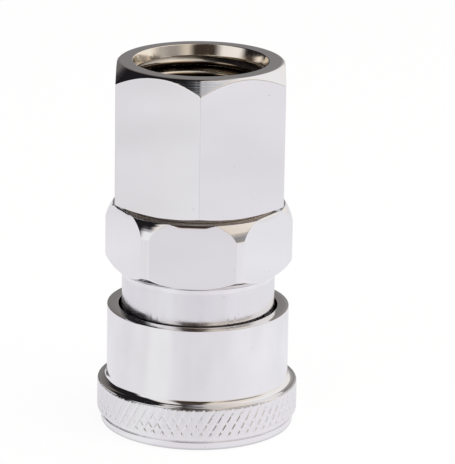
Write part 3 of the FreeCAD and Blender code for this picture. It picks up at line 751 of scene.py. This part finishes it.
# %% The release sleeve
SLEEVE_R, RIM_Z, SPRING_BORE_R, SPRING_FLOOR_Z = 14.3, 19.2, 12.5, 10.0
FLANGE_TOP_Z, COVE, COVE_MIDDLE = 7.05, 0.8, 0.234
LAND_R, LAND_LOW_Z, POCKET_R, POCKET_TOP_Z = 10.65, 8.56, 12.165, 2.904
RECESS_R, RECESS_TOP_Z = 12.95, 2.425
LIP_R, LIP_TOP_Z, LIP_ROUND, LIP_MIDDLE = 15.2, 1.35, 0.5, 0.146
LIP_GROOVE_DEPTH, LIP_GROOVE_LOW_Z, LIP_GROOVE_TOP_Z = 0.32, 1.38, 1.6
FOOT_SETBACK, FOOT_HEIGHT, TOP_SETBACK = 0.45, 0.1, 0.20
EASE_LOW, EASE_LOW_HEIGHT, EASE_TOP, EASE_TOP_HEIGHT = 0.10, 0.35, 0.09, 0.25

turns = even_turns(GROOVES * STEPS_PER_GROOVE)
sleeve_path = softened([
    (SLEEVE_R + COVE, FLANGE_TOP_Z, 0.3),
    (SLEEVE_R + COVE_MIDDLE, FLANGE_TOP_Z + COVE_MIDDLE, 0.3),
    (SLEEVE_R, FLANGE_TOP_Z + COVE, 0.3),
    (SLEEVE_R, RIM_Z, 0.15),
    (SPRING_BORE_R, RIM_Z, 0.1),
    (SPRING_BORE_R, SPRING_FLOOR_Z, 0.1),
    (LAND_R, SPRING_FLOOR_Z, 0.1),
    (LAND_R, LAND_LOW_Z, 0.1),
    (POCKET_R, POCKET_TOP_Z, 0.1),
    (POCKET_R, RECESS_TOP_Z, 0.05),
    (RECESS_R, RECESS_TOP_Z, 0.1),
    (RECESS_R, 0.0, 0.1),
    (LIP_R - LIP_ROUND, 0.0, 0.2),
    (LIP_R - LIP_MIDDLE, LIP_MIDDLE, 0.2),
    (LIP_R, LIP_ROUND, 0.2),
    (LIP_R, LIP_TOP_Z, 0.06),
    (LIP_R - LIP_GROOVE_DEPTH, LIP_GROOVE_LOW_Z, 0.04),
    (LIP_R - LIP_GROOVE_DEPTH, LIP_GROOVE_TOP_Z, 0.04),
    (LIP_R, LIP_GROOVE_TOP_Z, 0.06),
    (KNURL_R - FOOT_SETBACK, KNURL_BASE_Z - FOOT_HEIGHT, 0.08),
    (KNURL_R - TOP_SETBACK, FLANGE_TOP_Z, 0.12),
], steps=2)
below_knurl, above_knurl = sleeve_path[:-3], sleeve_path[-3:]
knurl_z = KNURL_BASE_Z + np.arange(knurl_rows + 1) * row_height
edge_round = np.interp(knurl_z, [KNURL_BASE_Z, KNURL_BASE_Z + EASE_LOW_HEIGHT,
                                 KNURL_TOP_Z - EASE_TOP_HEIGHT, KNURL_TOP_Z],
                       [EASE_LOW, 0.0, 0.0, EASE_TOP])
knurl_r = KNURL_R - knurl_depth(turns[None, :], knurl_z[:, None]) - edge_round[:, None]
points = np.concatenate([
    around(below_knurl[..., 0], turns, below_knurl[..., 1]),
    around(knurl_r, turns, knurl_z[:, None]),
    around(above_knurl[..., 0], turns, above_knurl[..., 1]),
])
mid_turns = turns + turns[1] / 2
mid_z = (knurl_z[:-1] + row_height / 2)[:, None]
mid_round = ((edge_round[:-1] + edge_round[1:]) / 2)[:, None]
mid_r = KNURL_R - knurl_depth(mid_turns[None, :], mid_z) - mid_round
middles = around(mid_r, mid_turns, mid_z).reshape(-1, 3)

faces = grid_faces(*points.shape[:2])
first = len(below_knurl) * len(turns)
in_knurl = (faces[:, 0] >= first) & (faces[:, 0] < first + knurl_rows * len(turns))
plain, patterned = faces[~in_knurl], faces[in_knurl]
centre = points[..., 0].size + np.arange(len(middles))
split = np.concatenate([np.stack([patterned[:, i], patterned[:, (i + 1) % 4], centre], axis=-1)
                        for i in range(4)])
sleeve = piece("knurled_sleeve", np.vstack([points.reshape(-1, 3), middles]),
               plain.tolist() + split.tolist(), chrome, "sleeve",
               ["release_sleeve"], sharp_deg=50.0)
second_finish(sleeve, knurled_chrome, lambda r, z: (r > LIP_R) & (z > KNURL_BASE_Z) & (z < KNURL_TOP_Z))

# %% [markdown]
# A spring ring snapped into a groove keeps the sleeve on. It is a flat ring with a gap, so
# its section is carried along an arc that stops short of a full turn, and both ends are shut.

# %% The stop ring
STOP_IN_R, STOP_OUT_R, STOP_LOW_Z, STOP_TOP_Z = 10.02, 12.75, 1.21, 2.39
STOP_STEPS, STOP_SETBACK, HALF_GAP, STOP_MIDDLE_R = 160, 0.12, 1.5, 11.4

section = softened([
    (STOP_IN_R, STOP_LOW_Z, STOP_SETBACK),
    (STOP_OUT_R, STOP_LOW_Z, STOP_SETBACK),
    (STOP_OUT_R, STOP_TOP_Z, STOP_SETBACK),
    (STOP_IN_R, STOP_TOP_Z, STOP_SETBACK),
])
gap = math.asin(HALF_GAP / STOP_MIDDLE_R)
points = around(section[..., 0], np.linspace(gap, 2 * math.pi - gap, STOP_STEPS), section[..., 1])
piece("snap_ring", points, capped_faces(*points.shape[:2]), ring_steel, "coupler_body",
      ["stop_ring"])

# %% [markdown]
# Two rubber parts hold the air. The packing grips the plug with a lip, and the ring on the
# valve closes the seat. Moulded edges are rounder than machined ones.

# %% The packing and the valve ring
GRIP_R, GRIP_LOW_Z, GRIP_TOP_Z = 5.75, 16.0, 16.65
SEAL_IN_R, SEAL_OUT_R, SEAL_LOW_Z, SEAL_LIP_Z, SEAL_TOP_Z = 6.5, 8.59, 14.01, 15.65, 16.99
RING_IN_R, RING_FACE_R, RING_OUT_R = 5.51, 6.75, 7.6
RING_LOW_Z, RING_CONE_Z, RING_TOP_Z = 18.41, 19.26, 20.19

turned_piece("plug_packing", softened([
    (SEAL_IN_R, SEAL_LOW_Z, 0.15),
    (SEAL_OUT_R, SEAL_LOW_Z, 0.2),
    (SEAL_OUT_R, SEAL_TOP_Z, 0.2),
    (SEAL_IN_R, SEAL_TOP_Z, 0.2),
    (GRIP_R, GRIP_TOP_Z, 0.2),
    (GRIP_R, GRIP_LOW_Z, 0.2),
    (SEAL_IN_R, SEAL_LIP_Z, 0.2),
]), even_turns(RING_STEPS), rubber, "coupler_body", ["plug_seal"])
turned_piece("valve_ring", softened([
    (RING_IN_R, RING_LOW_Z, 0.1),
    (RING_FACE_R, RING_LOW_Z, 0.1),
    (RING_OUT_R, RING_CONE_Z, 0.1),
    (RING_OUT_R, RING_TOP_Z, 0.1),
    (RING_IN_R, RING_TOP_Z, 0.1),
]), even_turns(RING_STEPS), rubber, "valve", ["valve_seal"])

# %% [markdown]
# The valve is one turned brass piece: a slotted skirt that lets air past, a head that carries
# the rubber ring, and a long stem. The grid of the skirt steps in and out at the slots, where
# the angle of each slot wall depends on the radius, so that the walls stay parallel.

# %% The valve
SLOTS, SLOT_HALF, SLOT_INNER_R, SLOT_ROOF_Z = 4, 1.5, 3.0, 18.38
SLOT_MARKS, SKIRT_MARKS = 7, 17
SKIRT_IN_R, SKIRT_R, SKIRT_LOW_Z, SKIRT_ROOF_Z = 4.3, 5.49, 17.4, 19.8
COLLAR_R, COLLAR_LOW_Z, COLLAR_TOP_Z = 6.1, 17.9, 18.39
HEAD_R, HEAD_LOW_Z, HEAD_TOP_Z = 7.59, 20.21, 21.8
STEM_R, STEM_END_Z, STEM_TIP_Z = 2.2, 31.75, 31.8


def slotted_turns(radius):
    """Angles whose marked pairs follow the slot walls: asin(half width / radius) each side."""
    wall = np.arcsin(SLOT_HALF / np.maximum(radius, SLOT_INNER_R))
    marks = []
    for middle in math.pi / 4 + even_turns(SLOTS):
        marks += [middle + wall * s for s in np.linspace(-1, 1, SLOT_MARKS)]
        marks += [middle + wall + (2 * math.pi / SLOTS - 2 * wall) * s
                  for s in np.linspace(0, 1, SKIRT_MARKS + 2)[1:-1]]
    return np.stack(marks, axis=-1)


valve_path = softened([
    (SKIRT_IN_R, SKIRT_LOW_Z, 0.08),
    (SKIRT_R, SKIRT_LOW_Z, 0.08),
    (SKIRT_R, COLLAR_LOW_Z, 0.05),
    (COLLAR_R, COLLAR_LOW_Z, 0.08),
    (COLLAR_R, COLLAR_TOP_Z, 0.08),
    (SKIRT_R, COLLAR_TOP_Z, 0.05),
    (SKIRT_R, HEAD_LOW_Z, 0.05),
    (HEAD_R, HEAD_LOW_Z, 0.1),
    (HEAD_R, HEAD_TOP_Z, 0.15),
    (STEM_R, HEAD_TOP_Z, 0.02),
    (STEM_R, STEM_END_Z, 0.3),
    (0.0, STEM_TIP_Z, 0.0),
    (0.0, SKIRT_ROOF_Z, 0.0),
    (SKIRT_IN_R, SKIRT_ROOF_Z, 0.15),
])[:, 0, :]
valve_r, valve_z = valve_path[:, :1], valve_path[:, 1:]
in_slot = np.zeros((SLOTS, SLOT_MARKS + SKIRT_MARKS), bool)
in_slot[:, 1:SLOT_MARKS - 1] = True
cut_away = in_slot.ravel() & (valve_z < SLOT_ROOF_Z) & (valve_r < (SKIRT_R + COLLAR_R) / 2)
points = around(valve_r, slotted_turns(valve_path[:, 0]),
                np.where(cut_away, np.maximum(valve_z, SLOT_ROOF_Z), valve_z))
piece("brass_valve", points, grid_faces(*points.shape[:2]), brass, "valve",
      ["valve_poppet"])

# %% [markdown]
# Both springs are coils of round wire with closed ends. The centre line is a helix whose
# climb is slow at the ends, and the wire is a circle carried square to it.

# %% The springs
CLOSED_TURNS, CLOSED_GAP = 0.75, 2.05
STEPS_PER_COIL, WIRE_STEPS = 72, 14


def coil(name, mean_r, wire_r, coils, low, high, body_name, node):
    """Centre (R cos a, R sin a, z(a)), where z climbs by CLOSED_GAP wire radii a turn in the
    closed turns at each end, and evenly between them."""
    t = np.linspace(0, coils, int(coils * STEPS_PER_COIL))
    closed = CLOSED_GAP * wire_r * CLOSED_TURNS
    at_start = np.clip(t / CLOSED_TURNS, 0, 1)
    at_end = np.clip((t - coils) / CLOSED_TURNS + 1, 0, 1)
    between = np.clip((t - CLOSED_TURNS) / (coils - 2 * CLOSED_TURNS), 0, 1)
    z = low + wire_r + closed * (at_start + at_end) + between * (high - low - 2 * wire_r - 2 * closed)
    b = even_turns(WIRE_STEPS)[:, None]
    points = around(mean_r + wire_r * np.cos(b), 2 * math.pi * t, z + wire_r * np.sin(b))
    made = piece(name, points, capped_faces(*points.shape[:2]), spring_wire, body_name,
                 [node], sharp_deg=60.0)
    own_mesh(made)


coil("sleeve_coil", 11.55, 0.55, 3.98, 10.02, 18.38, "spring_carrier", "sleeve_spring")
coil("valve_coil", 4.6, 0.45, 3.83, 21.82, 30.48, "coupler_body", "valve_spring")

# %% [markdown]
# The three-armed guide deep in the port keeps its CAD shape, because its flat arms need no
# more than their real outline. It gets the brass finish.

# %% The valve guide
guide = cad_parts["valve_guide"]
guide.data.materials.clear()
guide.data.materials.append(brass)
print("valve guide keeps", len(guide.data.polygons), "faces")

# %% [markdown]
# A polished surface shows what stands at each bearing round it. So the floor and the room get
# their tones by bearing: the angle of a point or a direction round the axis, from -180 degrees
# over -90 at the camera to 180, is looked up in a ramp that eases from stop to stop.

# %% Tones by bearing
def bearing_and_height(tree, place):
    """The bearing as a share, 0 at -180 degrees and 1 at 180, and the height, as two sockets."""
    part = add(tree, "ShaderNodeSeparateXYZ", Vector=place)
    angle = add(tree, "ShaderNodeMath", {"operation": "ARCTAN2"}, _0=part.outputs[1], _1=part.outputs[0])
    share = add(tree, "ShaderNodeMapRange", {"From Min": -math.pi, "From Max": math.pi},
                Value=angle.outputs[0])
    return share.outputs[0], part.outputs[2]


def tones(tree, share, stops):
    """A ramp whose stops are given as bearing in degrees and hex colour."""
    item = add(tree, "ShaderNodeValToRGB", Fac=share)
    item.color_ramp.interpolation = "EASE"
    bands = item.color_ramp.elements
    while len(bands) < len(stops):
        bands.new(0.5)
    for band, (bearing_deg, code) in zip(bands, stops):
        band.position = (bearing_deg + 180) / 360
        band.color = linear(code)
    return item.outputs["Color"]


print("the camera stands at bearing", round(math.degrees(math.atan2(stand.y, stand.x))))

# %% [markdown]
# The coupler stands on a wide sheet of white paper. The camera sees it as plain white, and
# the metal as a white with painted light in it: a tone that changes a little by bearing, a
# painted shadow right under the flange and painted shade further away. A share of ordinary
# diffuse paint keeps the soft shadow at the base.

# %% The floor
FLOOR_HALF, FLOOR_DROP = 4.0, 0.02 * MM
FAR_START, FAR_STOP = 100 * MM, 140 * MM
FOOT_SHADOW_START, FOOT_SHADOW_STOP = 15.1 * MM, 15.9 * MM
WHITE_SHARE = 0.93

floor_mesh = bpy.data.meshes.new("studio_floor")
floor_mesh.from_pydata([(-FLOOR_HALF, -FLOOR_HALF, 0), (FLOOR_HALF, -FLOOR_HALF, 0),
                        (FLOOR_HALF, FLOOR_HALF, 0), (-FLOOR_HALF, FLOOR_HALF, 0)], [], [(0, 1, 2, 3)])
floor = bpy.data.objects.new("studio_floor", floor_mesh)
floor.location = (0, 0, -FLOOR_DROP)
bpy.context.scene.collection.objects.link(floor)
paper = bpy.data.materials.new("white_studio_paper")
paper.use_nodes = True
tree = paper.node_tree
tree.nodes.clear()
spot = add(tree, "ShaderNodeTexCoord").outputs["Object"]
# The tone by bearing that the metal mirrors in the floor is painted light.
floor_light_by_bearing = tones(tree, bearing_and_height(tree, spot)[0], [
    (-180, "E4E3E7"), (-165, "E9E8EA"), (-151, "E8E7E9"), (-141, "EEEEEF"), (-124, "ECECED"),
    (-114, "E6E4E8"), (-98, "E2E0E5"), (-85, "E0DEE3"), (-66, "E6E4E9"), (-35, "EBEAEE"), (0, "EDECEF"),
    (25, "ECECEF"), (90, "E9E8EB"), (140, "E7E6EA"), (180, "E4E3E7")])
away = add(tree, "ShaderNodeVectorMath", {"operation": "LENGTH"}, _0=spot).outputs["Value"]
# Painted shade: the mirrored floor dims further away.
far_shade = add(tree, "ShaderNodeMapRange", {"From Min": FAR_START, "From Max": FAR_STOP, "To Min": 1.0,
                                      "To Max": 0.93}, Value=away)
# Painted shadow: the mirrored floor is darker right at the base of the flange.
foot_shadow = add(tree, "ShaderNodeMapRange", {"From Min": FOOT_SHADOW_START, "From Max": FOOT_SHADOW_STOP, "To Min": 0.74},
           Value=away)
cloud = add(tree, "ShaderNodeTexNoise", {"Scale": 28.0, "Detail": 2.0}, Vector=spot)
uneven = add(tree, "ShaderNodeMapRange", {"From Min": 0.3, "From Max": 0.7, "To Min": 0.96, "To Max": 1.06},
             Value=cloud.outputs[0])
dim = add(tree, "ShaderNodeMath", {"operation": "MULTIPLY"}, _0=far_shade.outputs[0], _1=foot_shadow.outputs[0])
dim = add(tree, "ShaderNodeMath", {"operation": "MULTIPLY"}, _0=dim.outputs[0], _1=uneven.outputs[0])
mirrored = add(tree, "ShaderNodeVectorMath", {"operation": "SCALE"}, _0=floor_light_by_bearing, Scale=dim.outputs[0])
path = add(tree, "ShaderNodeLightPath").outputs
seen = add(tree, "ShaderNodeMath", {"operation": "MAXIMUM"}, _0=path["Is Camera Ray"],
           _1=path["Is Glossy Ray"])
seen = add(tree, "ShaderNodeMath", {"operation": "MAXIMUM"}, _0=seen.outputs[0],
           _1=path["Is Transmission Ray"])
share = add(tree, "ShaderNodeMath", {"operation": "MULTIPLY", 1: WHITE_SHARE}, _0=seen.outputs[0])
white = add(tree, "ShaderNodeMix", {"data_type": "RGBA", 6: linear("FFFFFF")}, _0=path["Is Glossy Ray"],
            _7=mirrored.outputs[0])
glow = add(tree, "ShaderNodeEmission", {"Strength": 1.0}, Color=white.outputs[2])
matt = add(tree, "ShaderNodeBsdfDiffuse", {"Color": linear("F8F8F9")})
mixed = add(tree, "ShaderNodeMixShader", _0=share.outputs[0], _1=matt.outputs[0], _2=glow.outputs[0])
add(tree, "ShaderNodeOutputMaterial", Surface=mixed.outputs[0])
floor_mesh.materials.append(paper)
print("floor is", paper.name)

# %% [markdown]
# Chrome shows its surroundings, so the studio is what gives it its look. The upright faces
# mirror the floor, because the camera looks down. What leans upward mirrors the room: four
# rings of tones, one above the other. The more a face leans, the higher the ring, up to the
# chamfer of the port, which mirrors the zenith. The room is dark on the left and at the back
# left, has a narrow dark panel behind the camera, and is bright on the right.

# %% The room
world = bpy.data.worlds.new("studio")
bpy.context.scene.world = world
world.use_nodes = True
tree = world.node_tree
tree.nodes.clear()
direction = add(tree, "ShaderNodeTexCoord").outputs["Generated"]
turn_share, sine_height = bearing_and_height(tree, direction)
RINGS = {
    "low": [
        (-180, "1F1D1F"), (-174, "1F1D1F"), (-162, "F4F4F3"), (-128, "EFEEED"), (-114, "B9ABA0"),
        (-96, "B9A795"), (-84, "F8EEE0"), (0, "F4EBDF"), (66, "F1EADF"), (82, "8A8785"),
        (108, "6A6664"), (132, "2A282A"), (180, "1F1D1F")],
    "middle": [
        (-180, "1F1D1F"), (-172, "1F1D1F"), (-160, "F2F2F3"), (-130, "EDEDEE"), (-112, "3A322D"),
        (-80, "3A322D"), (-66, "CCC4BA"), (-44, "92908F"), (-14, "A09E9D"), (8, "F2EFEA"), (66, "F2EFEA"),
        (78, "A2A09F"), (88, "83807F"), (120, "6C6866"), (136, "262426"), (180, "1F1D1F")],
    "high": [
        (-180, "1F1D1F"), (-160, "1F1D1F"), (-149, "EDE8E2"), (-124, "EDE8E2"), (-114, "453B36"),
        (-84, "51463F"), (-66, "E6DACA"), (0, "F0E7DB"), (16, "F3F2F0"), (62, "F3F2F0"),
        (78, "8A847E"), (104, "6A625C"), (126, "1F1D1F"), (180, "1F1D1F")],
    "top": [
        (-180, "19181A"), (-160, "222224"), (-140, "303033"), (-122, "474749"), (-114, "5C5C5E"),
        (-108, "7C7C7E"), (-92, "A0A0A1"), (-66, "BABABB"), (-40, "CACACB"), (-10, "D8D7D6"),
        (20, "E6E3E0"), (60, "6A6058"), (90, "2E2622"), (120, "19181A"), (180, "19181A")],
}
# Each ring takes over from the one below it between two heights, as sines of the elevation.
CHANGES = {"middle": (0.05, 0.11), "high": (0.28, 0.52), "top": (0.87, 0.93)}

room = tones(tree, turn_share, RINGS["low"])
for ring, (start, stop) in CHANGES.items():
    lift = add(tree, "ShaderNodeMapRange", {"interpolation_type": "SMOOTHSTEP", "From Min": start,
                                           "From Max": stop}, Value=sine_height)
    above = tones(tree, turn_share, RINGS[ring])
    mix = add(tree, "ShaderNodeMix", {"data_type": "RGBA"}, _0=lift.outputs[0], _6=room, _7=above)
    room = mix.outputs[2]
sky = add(tree, "ShaderNodeBackground", {"Strength": 1.0}, Color=room)
add(tree, "ShaderNodeOutputWorld", Surface=sky.outputs[0])
print("room of", len(RINGS), "rings")

# %% [markdown]
# Three area lamps that the metal doesn't mirror light the rubber, the fibre, the floor and
# the inside: a large one overhead, a weak one in front, and a small low one on the right
# that lifts the washer between the hexagons.

# %% The lamps
def softbox(name, place, aim, side, watts, code):
    """A square area lamp at a place, turned towards its aim."""
    data = bpy.data.lights.new(name, "AREA")
    data.shape = "SQUARE"
    data.size = side
    data.energy = watts
    data.color = linear(code)[:3]
    lamp = bpy.data.objects.new(name, data)
    lamp.location = place
    lamp.visible_glossy = False
    lamp.rotation_euler = (Vector(aim) - Vector(place)).to_track_quat("-Z", "Y").to_euler()
    bpy.context.scene.collection.objects.link(lamp)
    print("%s: %.2f m wide, %.1f W" % (name, side, watts))


softbox("overhead", (0.1, -0.1, 1.0), (0, 0, 0.03), 0.9, 7.0, "FFFFFF")
softbox("fill_front", (-0.5, -0.7, 0.6), (0, 0, 0.03), 0.5, 1.5, "FFFFFF")
softbox("low_right", (0.6, -0.3, 0.12), (0, 0, 0.036), 0.3, 3.0, "FFF8F0")

bpy.context.scene.view_settings.view_transform = "Standard"
